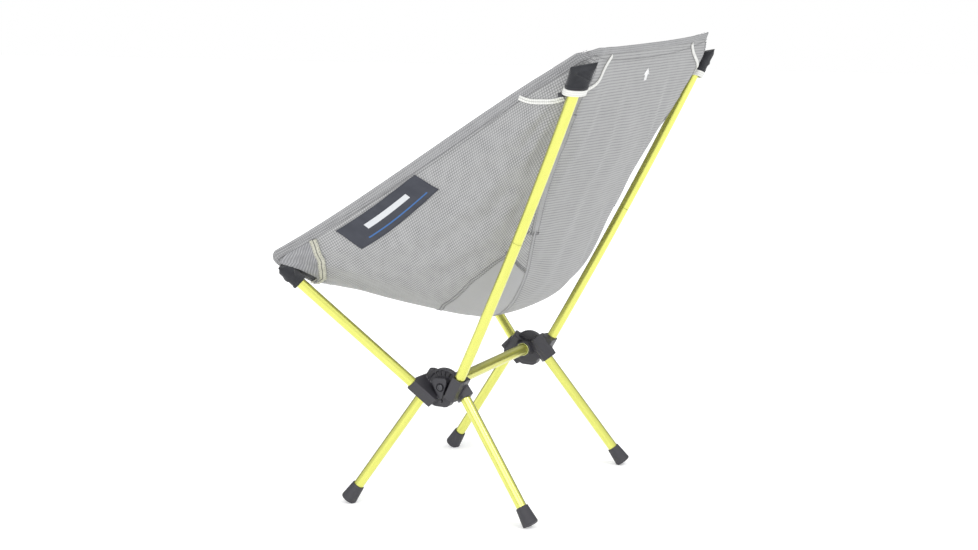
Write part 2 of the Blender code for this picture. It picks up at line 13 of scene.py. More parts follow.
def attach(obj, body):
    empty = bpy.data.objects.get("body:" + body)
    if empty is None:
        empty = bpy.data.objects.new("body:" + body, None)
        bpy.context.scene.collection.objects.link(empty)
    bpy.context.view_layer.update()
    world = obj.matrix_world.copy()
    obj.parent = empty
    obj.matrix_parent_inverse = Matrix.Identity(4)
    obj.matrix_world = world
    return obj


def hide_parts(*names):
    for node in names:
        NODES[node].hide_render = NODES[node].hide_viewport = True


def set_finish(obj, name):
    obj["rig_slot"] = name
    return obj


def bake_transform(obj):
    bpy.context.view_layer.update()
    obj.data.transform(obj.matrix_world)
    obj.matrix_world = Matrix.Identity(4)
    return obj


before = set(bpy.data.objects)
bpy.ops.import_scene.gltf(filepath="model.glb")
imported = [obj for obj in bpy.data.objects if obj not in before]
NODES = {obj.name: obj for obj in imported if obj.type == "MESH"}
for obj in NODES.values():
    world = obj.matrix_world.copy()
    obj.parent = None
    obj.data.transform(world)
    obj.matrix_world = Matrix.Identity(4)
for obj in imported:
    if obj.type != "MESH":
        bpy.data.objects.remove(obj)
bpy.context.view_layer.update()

SIDES = {"left": 1, "right": -1}
BODY = {"left": "frame", "right": "right_frame"}

# The hubs' pivot and the axes of the tubes, as (x outwards, y behind the pivot, z up).
PIVOT_Y = -0.0168
PIVOT_Z = 0.1756
LEG_ENDS = {
    "front": ((0.1401, -0.0083, 0.1973), (0.1706, -0.1397, 0.0042)),
    "rear": ((0.1401, 0.0066, 0.1945), (0.1788, 0.1421, 0.0043)),
}
POLE_ENDS = {
    "front": ((0.1570, -0.0049, 0.1484), (0.2483, -0.1906, 0.3404)),
    "back": ((0.1570, 0.0122, 0.1565), (0.2437, 0.2364, 0.6147)),
}
BACK_POLE_BOW = 0.005
TUBE_RADIUS = 0.0072
TUBE_WALL = 0.0009
CROSSBAR_RADIUS = 0.0080
BACK_POLE_SEAM = 0.261
LEG_SOCKET = 0.015
POLE_SOCKET = {"front": 0.020, "back": 0.0125}
CAP_HEIGHT = 0.0035
POCKET_LENGTH = {"front": 0.029, "back": 0.0255}
POCKET_SLOPES = {"front": (0.0, 0.0), "back": (0.26, 0.53)}
BAND_HEIGHT = 0.0085
POCKET_HALF = {"front": 0.0115, "back": 0.0145}
POCKET_BROAD = {"front": (1.0, 0.0, 0.0), "back": (-0.42, 0.91, 0.0)}
POCKET_THICK = 0.0096

# Sling: cubic curves of its middle line in (y, z) and of its side hem in (x, y, z).
SLING_MIDDLE = ((-0.166, 0.294), (0.064, 0.225), (0.099, 0.213), (0.246, 0.636))
SLING_HEM = ((0.251, -0.212, 0.358), (0.224, -0.086, 0.428), (0.220, 0.091, 0.563), (0.236, 0.241, 0.642))
BULGES = ((0.0125, 0.58, 0.13), (0.008, 0.885, 0.065), (0.005, 0.35, 0.10))
SHOULDER = (0.006, 0.016)
TOP_LIFT = (0.0042, -0.0056, 0.0044)
WIDTH_POWER = (1.95, 2.30)
DEPTH_POWER = (2.05, 2.50)
CLOTH = 0.0005
HEM_WIDTH = 0.0125

# Seams, tapes and panels on one half of the sling, as the few (across, forward) corners each is drawn through.
BACK_SEAM = ((0.11, 0.30), (0.13, 0.41), (0.29, 0.56), (0.43, 0.70), (0.55, 0.83), (0.72, 0.91), (0.74, 0.98))
COVER_RANGE = (0.70, 0.89)
SEAT_SEAM = ((0.10, 0.15), (0.40, 0.33), (0.50, 0.48), (0.52, 0.56), (0.47, 0.66))
CROSS_SEAM = ((0.51, 0.61), (0.35, 0.61))
TACK_SEAM = ((0.48, 0.68), (0.40, 0.70))
FRONT_TAPE = ((0.95, 0.14), (0.81, 0.12), (0.66, 0.07), (0.56, 0.01))
FRONT_PANEL = ((0.60, 0.04), (0.65, 0.06), (0.78, 0.05), (0.90, 0.02), (0.94, 0.05), (0.95, 0.14))
SIDE_TAPE = ((0.98, 0.79), (0.89, 0.85), (0.82, 0.89))
ARC_TAPE = ((0.71, 0.93), (0.58, 0.96), (0.45, 0.99))
PATCH = ((0.94, 0.21), (0.97, 0.47), (0.89, 0.52), (0.82, 0.25))

# The arrow printed on the back: half widths of its head and stem, its heights, and where its foot lies.
ARROW_HEAD = 0.0120
ARROW_STEM = 0.0055
ARROW_SHOULDER = 0.0085
ARROW_TOP = 0.018
ARROW_FORWARD = 0.959


# ---------------------------------------------------------------- materials


def hexed(red, green, blue):
    """A display colour from 0 to 255 as scene-linear RGBA."""
    out = []
    for value in (red, green, blue):
        c = value / 255
        out.append(c / 12.92 if c <= 0.04045 else ((c + 0.055) / 1.055) ** 2.4)
    return (*out, 1.0)


class Nodes:
    """A short way to build a node tree round one Principled shader."""

    def __init__(self, name):
        self.material = bpy.data.materials.new(name)
        self.material.use_nodes = True
        self.tree = self.material.node_tree
        self.shader = self.tree.nodes["Principled BSDF"]

    def add(self, kind, **values):
        node = self.tree.nodes.new(kind)
        for key, value in values.items():
            setattr(node, key, value)
        return node

    def link(self, source, target):
        self.tree.links.new(source, target)

    def math(self, operation, first, second=None, clamp=False):
        node = self.add("ShaderNodeMath", operation=operation, use_clamp=clamp)
        for slot, value in zip(node.inputs, (first, second)):
            if value is None:
                continue
            if isinstance(value, (int, float)):
                slot.default_value = value
            else:
                self.link(value, slot)
        return node.outputs[0]

    def mix(self, share, first, second):
        node = self.add("ShaderNodeMix", data_type="RGBA")
        for slot, value in ((node.inputs[0], share), (node.inputs[6], first), (node.inputs[7], second)):
            if isinstance(value, (int, float, tuple)):
                slot.default_value = value
            else:
                self.link(value, slot)
        return node.outputs[2]

    def noise(self, vector, scale, detail=2.0, stretch=None):
        if stretch:
            mapping = self.add("ShaderNodeMapping")
            mapping.inputs["Scale"].default_value = stretch
            self.link(vector, mapping.inputs["Vector"])
            vector = mapping.outputs[0]
        node = self.add("ShaderNodeTexNoise")
        node.inputs["Scale"].default_value = scale
        node.inputs["Detail"].default_value = detail
        self.link(vector, node.inputs["Vector"])
        return node.outputs["Fac"]

    def bump(self, height, strength, distance):
        node = self.add("ShaderNodeBump")
        node.inputs["Strength"].default_value = strength
        node.inputs["Distance"].default_value = distance
        self.link(height, node.inputs["Height"])
        self.link(node.outputs[0], self.shader.inputs["Normal"])

    def spread(self, value, low, high):
        node = self.add("ShaderNodeMapRange")
        node.inputs["From Min"].default_value = 0.3
        node.inputs["From Max"].default_value = 0.7
        node.inputs["To Min"].default_value = low
        node.inputs["To Max"].default_value = high
        self.link(value, node.inputs["Value"])
        return node.outputs[0]

    def uv(self):
        """The cloth's own coordinates in metres."""
        split = self.add("ShaderNodeSeparateXYZ")
        source = self.add("ShaderNodeUVMap", uv_map="UVMap")
        self.link(source.outputs[0], split.inputs[0])
        return source.outputs[0], split.outputs[0], split.outputs[1]

    def ridge(self, value, pitch, power):
        """A narrow line from 0 to 1 once in every pitch."""
        turned = self.math("COSINE", self.math("MULTIPLY", value, math.pi / pitch))
        return self.math("POWER", self.math("ABSOLUTE", turned), power)


def finish(nodes, roughness, metallic=0.0, sheen=0.0, specular=0.5):
    shader = nodes.shader
    if roughness is not None:
        shader.inputs["Roughness"].default_value = roughness
    shader.inputs["Metallic"].default_value = metallic
    shader.inputs["Sheen Weight"].default_value = sheen
    shader.inputs["Specular IOR Level"].default_value = specular
    return nodes.material


def metal_material(name, colour, dark, roughness):
    """Anodised or blackened metal: fine lines along the tube and faint cloudiness."""
    nodes = Nodes(name)
    vector, _, _ = nodes.uv()
    lines = nodes.noise(vector, 1.0, 3.0, (2600.0, 40.0, 1.0))
    cloud = nodes.noise(vector, 1.0, 2.0, (90.0, 26.0, 1.0))
    nodes.link(nodes.mix(nodes.spread(cloud, 0.0, 0.5), colour, dark), nodes.shader.inputs["Base Color"])
    nodes.link(nodes.spread(lines, roughness - 0.05, roughness + 0.06), nodes.shader.inputs["Roughness"])
    nodes.bump(lines, 0.06, 0.0001)
    nodes.shader.inputs["Coat Weight"].default_value = 0.55
    nodes.shader.inputs["Coat Roughness"].default_value = 0.16
    return finish(nodes, None, 1.0)


def moulded_material(name, colour, edge_highlight, roughness, grain, bump):
    """Resin or rubber: a fine mould grain, cloudy sheen and slightly paler edges, a painted highlight along the
    convex edges.
    """
    nodes = Nodes(name)
    place = nodes.add("ShaderNodeTexCoord").outputs["Object"]
    fine = nodes.noise(place, grain, 3.0)
    cloud = nodes.noise(place, 60.0, 3.0)
    # Pointiness picks out the convex edges, which are drawn paler in patches: a painted highlight along the edges.
    edge = nodes.add("ShaderNodeNewGeometry").outputs["Pointiness"]
    step = nodes.add("ShaderNodeMapRange")
    step.inputs["From Min"].default_value = 0.53
    step.inputs["From Max"].default_value = 0.64
    nodes.link(edge, step.inputs["Value"])
    edge_highlight_share = nodes.math("MULTIPLY", step.outputs[0], nodes.spread(cloud, 0.35, 0.9), clamp=True)
    nodes.link(nodes.mix(edge_highlight_share, colour, edge_highlight), nodes.shader.inputs["Base Color"])
    nodes.link(nodes.spread(cloud, roughness - 0.06, roughness + 0.07), nodes.shader.inputs["Roughness"])
    nodes.bump(fine, bump, 0.0003)
    return finish(nodes, None)


def ripstop_material(name, base, line, pitch, power, share, across=1.0):
    """Light cloth with a darker grid of thick yarns over a fine plain weave."""
    nodes = Nodes(name)
    vector, first, second = nodes.uv()
    wobble = nodes.math("MULTIPLY", nodes.noise(vector, 30.0, 1.0), 0.0010)
    first = nodes.math("ADD", first, wobble)
    second = nodes.math("ADD", second, wobble)
    over = nodes.math("MULTIPLY", nodes.ridge(first, pitch, power), across)
    grid = nodes.math("MAXIMUM", over, nodes.ridge(second, pitch, power))
    patchy = nodes.spread(nodes.noise(vector, 55.0, 3.0), 0.65, 1.0)
    darker = nodes.math("MULTIPLY", nodes.math("MULTIPLY", grid, share), patchy, clamp=True)
    cloud = nodes.spread(nodes.noise(vector, 14.0, 4.0), 0.0, 1.0)
    pale = tuple(min(1.0, c * 1.06) for c in base[:3]) + (1.0,)
    ground = nodes.mix(cloud, base, pale)
    nodes.link(nodes.mix(darker, ground, line), nodes.shader.inputs["Base Color"])
    yarn = 0.00042
    weave = nodes.math(
        "MULTIPLY",
        nodes.math("SINE", nodes.math("MULTIPLY", first, 2 * math.pi / yarn)),
        nodes.math("SINE", nodes.math("MULTIPLY", second, 2 * math.pi / yarn)),
    )
    height = nodes.math("ADD", nodes.math("MULTIPLY", weave, 0.25), nodes.math("MULTIPLY", grid, 0.8))
    nodes.bump(height, 0.35, 0.00025)
    return finish(nodes, 0.78, 0.0, 0.15, 0.25)


def weave_material(name, colour, pale, yarn, bump, roughness=0.85, ribs=None, sheen=0.2):
    """Dense webbing or pocket cloth, woven or ribbed, with the yarn crowns drawn paler than the hollows: painted
    shade in the weave's hollows, made patchy by a random cloud tone.
    """
    nodes = Nodes(name)
    vector, first, second = nodes.uv()
    one = nodes.math("SINE", nodes.math("MULTIPLY", first, 2 * math.pi / yarn))
    two = nodes.math("SINE", nodes.math("MULTIPLY", second, 2 * math.pi / (ribs or yarn)))
    weave = two if ribs else nodes.math("MULTIPLY", one, two)
    if ribs:
        weave = nodes.math("ADD", weave, nodes.math("MULTIPLY", one, 0.25))
    # The weave's height sets the colour: darker hollows and paler crowns are painted shade in the weave, broken up by
    # a random cloud tone.
    high = nodes.math("MULTIPLY_ADD", weave, 0.5)
    high.node.inputs[2].default_value = 0.5
    cloud = nodes.spread(nodes.noise(vector, 120.0, 3.0), 0.3, 1.0)
    share = nodes.math("MULTIPLY", high, cloud, clamp=True)
    nodes.link(nodes.mix(share, colour, pale), nodes.shader.inputs["Base Color"])
    nodes.bump(weave, bump, 0.0003)
    return finish(nodes, roughness, 0.0, sheen, 0.3)


def stripe_material(name):
    """The sewn patch: dark twill with plain pale bars printed along it."""
    nodes = Nodes(name)
    vector, first, second = nodes.uv()
    twill = nodes.math("SINE", nodes.math("MULTIPLY", nodes.math("ADD", first, second), 2 * math.pi / 0.0009))
    cloud = nodes.spread(nodes.noise(vector, 60.0, 3.0), 0.2, 1.0)
    cloth = nodes.mix(cloud, hexed(56, 58, 66), hexed(66, 68, 76))
    for centre, half, low, high, ink in (
        (0.0170, 0.0030, 0.038, 0.118, hexed(205, 207, 210)), (0.0062, 0.0007, 0.026, 0.138, hexed(62, 104, 160)),
    ):
        inside = nodes.math("LESS_THAN", nodes.math("ABSOLUTE", nodes.math("SUBTRACT", second, centre)), half)
        after = nodes.math("GREATER_THAN", first, low)
        before = nodes.math("LESS_THAN", first, high)
        cloth = nodes.mix(nodes.math("MULTIPLY", inside, nodes.math("MULTIPLY", after, before)), cloth, ink)
    nodes.link(cloth, nodes.shader.inputs["Base Color"])
    nodes.bump(twill, 0.25, 0.0002)
    return finish(nodes, 0.72, 0.0, 0.1, 0.3)


MATERIALS = {
    "anodised": metal_material("anodised", hexed(225, 226, 118), hexed(214, 216, 104), 0.28),
    # A darker, rougher copy of the anodised finish for the crossbar: painted shade on the crossbar.
    "anodised_bar_painted_shade": metal_material("anodised_bar_painted_shade", hexed(214, 213, 108), hexed(204, 204, 96), 0.34),
    "lip": metal_material("lip", hexed(225, 228, 160), hexed(205, 210, 140), 0.25),
    "steel": metal_material("steel", hexed(84, 84, 88), hexed(64, 64, 68), 0.30),
    # The second colour of the resin and the rubber is the paler colour of the painted edge highlight.
    "resin": moulded_material("resin", hexed(54, 53, 58), hexed(92, 92, 97), 0.36, 1500.0, 0.12),
    "rubber": moulded_material("rubber", hexed(56, 55, 60), hexed(76, 75, 80), 0.60, 900.0, 0.22),
    "ripstop": ripstop_material("ripstop", hexed(174, 174, 174), hexed(92, 92, 94), 0.0034, 7.0, 0.85),
    "back_weave": ripstop_material("back_weave", hexed(166, 166, 166), hexed(104, 104, 106), 0.0041, 4.0, 0.70, 0.25),
    "plain": ripstop_material("plain", hexed(166, 166, 167), hexed(150, 150, 152), 0.0020, 6.0, 0.5),
    # For the woven materials the second colour is the paler yarn crown of the painted weave shade.
    "ribbed": weave_material("ribbed", hexed(126, 126, 128), hexed(172, 172, 174), 0.0012, 0.5, ribs=0.0031),
    "hem": ripstop_material("hem", hexed(164, 164, 165), hexed(92, 92, 94), 0.0030, 6.0, 0.75),
    "seam": ripstop_material("seam", hexed(170, 170, 171), hexed(112, 112, 114), 0.0022, 5.0, 0.6),
    "pocket": weave_material("pocket", hexed(36, 37, 41), hexed(58, 59, 63), 0.0011, 0.5),
    "webbing": weave_material("webbing", hexed(214, 214, 210), hexed(240, 240, 236), 0.0016, 0.6, ribs=0.0030),
    "tape": weave_material("tape", hexed(176, 175, 160), hexed(210, 209, 195), 0.0012, 0.5, ribs=0.0016),
    "thread": weave_material("thread", hexed(104, 104, 106), hexed(134, 134, 136), 0.0006, 0.3),
    "cord": weave_material("cord", hexed(30, 30, 32), hexed(56, 56, 58), 0.0008, 0.6),
    "print": weave_material("print", hexed(238, 238, 238), hexed(250, 250, 250), 0.0009, 0.15, 0.6),
    "patch": stripe_material("patch"),
}


# ---------------------------------------------------------------- mesh helpers


def make_object(name, verts, faces, material, uvs=None, indices=None, materials=None, sharp=40):
    """A smooth mesh object with an optional UV pair for each vertex."""
    mesh = bpy.data.meshes.new(name)
    mesh.from_pydata([tuple(map(float, v)) for v in verts], [], faces)
    for entry in materials or [material]:
        mesh.materials.append(MATERIALS[entry])
    if indices is not None:
        mesh.polygons.foreach_set("material_index", indices)
    layer = mesh.uv_layers.new(name="UVMap")
    if uvs is not None:
        loops = np.zeros(len(mesh.loops), dtype=np.int32)
        mesh.loops.foreach_get("vertex_index", loops)
        layer.data.foreach_set("uv", np.asarray(uvs, float)[loops].astype(np.float32).ravel())
    mesh.shade_smooth()
    mesh.set_sharp_from_angle(angle=math.radians(sharp))
    made = bpy.data.objects.new(name, mesh)
    bpy.context.scene.collection.objects.link(made)
    return made


def apply_modifiers(piece):
    """Turns a piece's modifiers into plain mesh."""
    bpy.context.view_layer.update()
    fresh = bpy.data.meshes.new_from_object(piece.evaluated_get(bpy.context.evaluated_depsgraph_get()))
    piece.modifiers.clear()
    piece.data = fresh


def grid_faces(rows, columns, closed=False, start=0):
    """Quads over a grid of vertices, row by row; closed joins the last column to the first."""
    faces = []
    for r in range(rows - 1):
        for c in range(columns if closed else columns - 1):
            d = (c + 1) % columns
            a = start + r * columns
            b = a + columns
            faces.append((a + c, a + d, b + d, b + c))
    return faces


def place(x, y, z, side=1):
    """A side-frame point in the chair's own coordinates."""
    return Vector((side * x, PIVOT_Y + y, z))


def leg_line(which, side):
    start, end = LEG_ENDS[which]
    return place(*start, side), place(*end, side)


def pole_length(which):
    start, end = (Vector(p) for p in POLE_ENDS[which])
    return (end - start).length


def pole_point(which, side, distance):
    """A point on an upper pole's axis."""
    start, end = (place(*p, side) for p in POLE_ENDS[which])
    share = distance / (end - start).length
    bow = BACK_POLE_BOW if which == "back" else 0.0
    return start.lerp(end, share) + Vector((0, 4 * bow * share * (1 - share), 0))


def sweep(name, path, profile, material, sides=56, sharp=40):
    """A turned form along a path. The profile holds (radius, distance along the path) pairs."""
    verts = []
    uvs = []
    for radius, distance in profile:
        centre = path(distance)
        axis = (path(distance + 0.001) - path(distance - 0.001)).normalized()
        across = axis.cross(Vector((0, 0, 1)))
        if across.length < 0.1:
            across = axis.cross(Vector((0, 1, 0)))
        across.normalize()
        other = axis.cross(across)
        for i in range(sides):
            turn = 2 * math.pi * i / sides
            verts.append(centre + (across * math.cos(turn) + other * math.sin(turn)) * radius)
            uvs.append((turn * max(radius, 0.004), distance))
    return make_object(name, verts, grid_faces(len(profile), sides, True), material, uvs, sharp=sharp)


def tube_profile(low, high, radius, wall, steps=2):
    """A tube's profile from one end to the other and back inside, with eased rims."""
    ease = 0.00035
    inner = radius - wall
    run = [low + ease + (high - low - 2 * ease) * i / steps for i in range(steps + 1)]
    profile = [(radius - ease, low)] + [(radius, d) for d in run] + [(radius - ease, high)]
    profile += [(inner + ease / 2, high), (inner, high - ease), (inner, low + ease), (inner + ease / 2, low)]
    profile.append(profile[0])
    return profile


def line_path(start, end):
    axis = (end - start).normalized()
    return lambda distance: start + axis * distance


# ---------------------------------------------------------------- tubes, feet and hubs


def dress_leg(which, word, side):
    """A leg tube and its rubber foot."""
    start, end = leg_line(which, side)
    length = (end - start).length
    path = line_path(start, end)
    body = f"leg_{which}_{word}"
    tube = sweep(f"tube_{body}", path, tube_profile(LEG_SOCKET, length - 0.0048, TUBE_RADIUS, TUBE_WALL), "anodised")
    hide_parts(f"leg_{which}_{word}")
    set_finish(tube, "anodised")
    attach(tube, body)
    top = length - 0.027
    profile = [(0.0075, length - 0.0046), (0.0075, top + 0.0003)]
    profile += [(0.0078, top), (0.0083, top), (0.0087, top + 0.0003)]
    profile += [(0.0088, top + 0.0009)]
    for share in (0.15, 0.35, 0.55, 0.75):
        profile.append((0.0088 + 0.0024 * share**0.92, top + 0.001 + 0.0238 * share))
    profile += [(0.01115, length - 0.0034), (0.0112, length - 0.0026)]
    for step in range(1, 7):
        turn = math.radians(90 * step / 6)
        profile.append((0.0112 - 0.0022 * (1 - math.cos(turn)), length - 0.0026 + 0.0026 * math.sin(turn)))
    profile += [(0.0078, length), (0.0074, length - 0.0004), (0.0060, length - 0.0004)]
    profile += [(0.0056, length), (0.0, length)]
    foot = sweep(f"cap_{body}", path, profile, "rubber", 64, 50)
    for vertex in foot.data.vertices:
        vertex.co.z = max(vertex.co.z, 0.0)
    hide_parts(f"foot_{which}_{word}")
    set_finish(foot, "rubber")
    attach(foot, body)


def dress_poles(word, side):
    """The upper poles on one side."""
    pieces = []
    length = pole_length("front")
    path = line_path(pole_point("front", side, 0), pole_point("front", side, length))
    profile = tube_profile(POLE_SOCKET["front"], length - CAP_HEIGHT, TUBE_RADIUS, TUBE_WALL)
    pieces.append((sweep(f"tube_front_pole_{word}", path, profile, "anodised"), f"front_pole_{word}"))

    def bowed(distance):
        return pole_point("back", side, distance)

    seam = BACK_POLE_SEAM
    low = tube_profile(POLE_SOCKET["back"], seam - 0.00015, TUBE_RADIUS, TUBE_WALL, 14)
    high = tube_profile(seam + 0.00015, pole_length("back") - CAP_HEIGHT, TUBE_RADIUS, TUBE_WALL, 14)
    pieces.append((sweep(f"tube_back_lower_{word}", bowed, low, "anodised"), f"back_pole_lower_{word}"))
    pieces.append((sweep(f"tube_back_upper_{word}", bowed, high, "anodised"), f"back_pole_upper_{word}"))
    for piece, node in pieces:
        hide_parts(node)
        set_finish(piece, "anodised")
        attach(piece, BODY[word])


def dress_crossbar():
    """The crossbar, in a darker copy of the anodised finish as painted shade, with a pale lip at each hub."""
    half = 0.1420
    path = line_path(place(0, 0, PIVOT_Z), place(1, 0, PIVOT_Z))
    bar = sweep("tube_crossbar", path, tube_profile(-half, half, CROSSBAR_RADIUS, 0.0011, 4), "anodised_bar_painted_shade", 64)
    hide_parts("crossbar")
    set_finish(bar, "anodised")
    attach(bar, "frame")
    for word, side in SIDES.items():
        profile = []
        for i in range(17):
            turn = 2 * math.pi * i / 16
            profile.append((0.0090 + 0.0006 * math.cos(turn), 0.1226 + 0.0008 * math.sin(turn)))
        lip = sweep(f"lip_{word}", line_path(place(0, 0, PIVOT_Z), place(side, 0, PIVOT_Z)), profile, "lip", 64)
        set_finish(lip, "anodised")
        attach(lip, BODY[word])


def dress_hub(word, side):
    """One hub, with the solid's hard corners eased into a moulding, and its pivot pin."""
    node = NODES[f"hub_{word}"]
    hub = bpy.data.objects.new(f"moulding_{word}", node.data.copy())
    hub.matrix_world = node.matrix_world
    bpy.context.scene.collection.objects.link(hub)
    grow = hub.modifiers.new("remesh", "REMESH")
    grow.mode = "VOXEL"
    grow.voxel_size = 0.00055
    soften = hub.modifiers.new("soften", "SMOOTH")
    soften.factor = 0.5
    soften.iterations = 10
    apply_modifiers(hub)
    hub.data.materials.clear()
    hub.data.materials.append(MATERIALS["resin"])
    hub.data.shade_smooth()
    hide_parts(f"hub_{word}")
    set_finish(hub, "hub_resin")
    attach(hub, BODY[word])
    seat = 0.16190
    profile = [(0.0, 0.1300), (0.0025, 0.1300), (0.0025, seat), (0.0041, seat), (0.0044, seat + 0.0003)]
    profile.append((0.0044, seat + 0.0010))
    for step in range(1, 9):
        turn = math.radians(90 * step / 8)
        profile.append((0.0044 - 0.0014 * (1 - math.cos(turn)), seat + 0.0010 + 0.0011 * math.sin(turn)))
    profile += [(0.0022, seat + 0.00215), (0.0019, seat + 0.0016), (0.0, seat + 0.0015)]
    path = line_path(place(0, 0, PIVOT_Z, side), place(1, 0, PIVOT_Z, side))
    pin = sweep(f"rivet_{word}", path, profile, "steel", 48, 30)
    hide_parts(f"pivot_pin_{word}")
    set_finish(pin, "steel")
    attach(pin, BODY[word])


# ---------------------------------------------------------------- the sling's surface


def cubic(points, share):
    """Points on a cubic curve, one row for each share."""
    share = np.asarray(share, float)[..., None]
    rest = 1 - share
    a, b, c, d = (np.array(p) for p in points)
    return a * rest**3 + 3 * b * rest**2 * share + 3 * c * rest * share**2 + d * share**3


def bell(value, centre, width):
    return np.exp(-(((value - centre) / width) ** 2))


def rise(value, low, high):
    """A smooth step from 0 to 1."""
    t = np.clip((value - low) / (high - low), 0, 1)
    return t * t * (3 - 2 * t)


def middle_line(v):
    """The sling's middle line in (y, z), with the cloth's own bulges behind the seat and the shoulders."""
    line = cubic(SLING_MIDDLE, v)
    ahead = cubic(SLING_MIDDLE, v + 0.002) - cubic(SLING_MIDDLE, v - 0.002)
    ahead /= np.linalg.norm(ahead, axis=-1, keepdims=True)
    out = np.stack([ahead[..., 1], -ahead[..., 0]], -1)
    return line + out * sum(depth * bell(v, centre, width) for depth, centre, width in BULGES)[..., None]


def rounded(u, v):
    """Eases the sheet's square corners into arcs."""
    side = np.abs(u)
    for start, reach, top in ((0.66, 0.050, True), (0.90, 0.027, False)):
        gone = 1 - v if top else v
        p = np.clip((side - start) / (1 - start), 0, 1)
        q = np.clip((reach - gone) / reach, 0, 1)
        side = side - (1 - start) * p * (1 - np.sqrt(1 - q * q / 2))
        gone = gone + reach * q * (1 - np.sqrt(1 - p * p / 2))
        v = 1 - gone if top else gone
    return np.sign(u) * side, v


def plain_surface(u, v):
    """The taut sling: u from -1 to 1 between the side hems, v from 0 at the front hem to 1 at the top."""
    u, v = rounded(np.clip(u, -1, 1), v)
    middle = middle_line(v)
    hem = cubic(SLING_HEM, v)
    width = WIDTH_POWER[0] + (WIDTH_POWER[1] - WIDTH_POWER[0]) * v
    depth = DEPTH_POWER[0] + (DEPTH_POWER[1] - DEPTH_POWER[0]) * v
    turn = np.minimum(np.abs(u), 1.0) * math.pi / 2
    wide = np.sin(turn) ** (2 / width)
    risen = 1 - np.maximum(np.cos(turn), 0.0) ** (2 / depth)
    x = np.sign(u) * hem[..., 0] * wide
    y = middle[..., 0] + (hem[..., 1] - middle[..., 0]) * risen
    z = middle[..., 1] + (hem[..., 2] - middle[..., 1]) * risen
    z = z + (TOP_LIFT[0] + TOP_LIFT[1] * u + TOP_LIFT[2] * u**4) * rise(v, 0.84, 1.0)
    shoulder = bell(np.abs(u), 0.72, 0.25) * rise(v, 0.82, 0.95) * (1 - 0.6 * rise(v, 0.955, 1.0))
    x = x + np.sign(u) * SHOULDER[0] * shoulder
    y = y + SHOULDER[1] * shoulder
    return np.stack([x, PIVOT_Y + y, z], -1)


def normals(function, u, v):
    """Unit normals of the sling, pointing out of the bucket."""
    step = 0.002
    low_u = np.clip(u - step, -1, 1)
    high_u = np.clip(u + step, -1, 1)
    low_v = np.clip(v - step, 0, 1)
    high_v = np.clip(v + step, 0, 1)
    spread = function(high_u, v) - function(low_u, v)
    run = function(u, high_v) - function(u, low_v)
    out = np.cross(run, spread)
    return out / np.maximum(np.linalg.norm(out, axis=-1, keepdims=True), 1e-12)


def folds(u, v):
    """How far the cloth stands off its taut form: tension folds fanning from the corners, and soft pleats."""
    side = np.abs(u)
    out = np.zeros_like(side)
    fan = np.arctan2((0.95 - v) * 0.62, (0.86 - side) * 0.36 + 1e-6)
    reach = np.hypot((0.95 - v) * 0.62, (0.86 - side) * 0.36)
    window = rise(reach, 0.03, 0.12) * (1 - rise(reach, 0.34, 0.56)) * rise(side, 0.42, 0.62)
    out += 0.0016 * window * np.cos(fan * 12 + 1.1 * np.sin(fan * 5.0)) * (1 - rise(side, 0.90, 1.0))
    fan = np.arctan2((v - 0.03) * 0.62, (0.90 - side) * 0.36 + 1e-6)
    reach = np.hypot((v - 0.03) * 0.62, (0.90 - side) * 0.36)
    window = rise(reach, 0.02, 0.08) * (1 - rise(reach, 0.14, 0.30)) * (1 - rise(side, 0.90, 1.0))
    out += 0.0010 * window * np.cos(fan * 13 + 0.8)
    window = rise(v, 0.24, 0.45) * (1 - rise(v, 0.78, 0.92)) * rise(side, 0.46, 0.60) * (1 - rise(side, 0.88, 0.97))
    out += 0.0019 * window * np.cos(side * 47 + 3.0 * v + 0.6 * np.sin(v * 9.0))
    pleat = np.cos(u * 30 + 1.2 * np.sin(v * 5.0) + 0.7) * 0.6 + np.cos(u * 47 + 2.1 + v * 2.0) * 0.4
    out += 0.0022 * pleat * rise(v, 0.46, 0.66) * (1 - rise(v, 0.90, 0.99)) * (1 - rise(side, 0.40, 0.56))
    ripple = np.cos(u * 24 + 0.4) * 0.5 + np.cos(u * 41 + 1.9) * 0.5
    out += 0.0016 * ripple * (1 - rise(v, 0.02, 0.16)) * (1 - rise(side, 0.5, 0.7))
    return out


def surface(u, v, lift=0.0):
    """The draped sling, or a point lifted off its outside."""
    u = np.asarray(u, float)
    v = np.asarray(v, float)
    base = plain_surface(u, v)
    out = normals(plain_surface, u, v)
    return base + out * (folds(u, v) + lift)[..., None]


def along_path(points, count):
    """Evenly spaced (u, v) samples on a smooth line through seam points, by real length."""
    points = np.array(points, float)
    knots = np.concatenate([[0], np.cumsum(np.linalg.norm(np.diff(points, axis=0), axis=1))])
    fine = np.linspace(0, knots[-1], 400)
    line = np.stack([np.interp(fine, knots, points[:, i]) for i in (0, 1)], -1)
    kernel = np.hanning(41)
    kernel /= kernel.sum()
    padded = np.concatenate([np.repeat(line[:1], 20, 0), line, np.repeat(line[-1:], 20, 0)])
    smooth = np.stack([np.convolve(padded[:, i], kernel, "valid") for i in (0, 1)], -1)
    smooth[0] = line[0]
    smooth[-1] = line[-1]
    real = surface(smooth[:, 0], smooth[:, 1])
    lengths = np.concatenate([[0], np.cumsum(np.linalg.norm(np.diff(real, axis=0), axis=1))])
    wanted = np.linspace(0, lengths[-1], count)
    return np.stack([np.interp(wanted, lengths, smooth[:, i]) for i in (0, 1)], -1), lengths[-1]


def path_frame(uv, lift):
    """Points, directions along, directions across and normals of a line on the sling."""
    points = surface(uv[:, 0], uv[:, 1], lift)
    out = normals(surface, uv[:, 0], uv[:, 1])
    ahead = np.gradient(points, axis=0)
    ahead /= np.maximum(np.linalg.norm(ahead, axis=1, keepdims=True), 1e-12)
    across = np.cross(out, ahead)
    across /= np.maximum(np.linalg.norm(across, axis=1, keepdims=True), 1e-12)
    return points, ahead, across, out


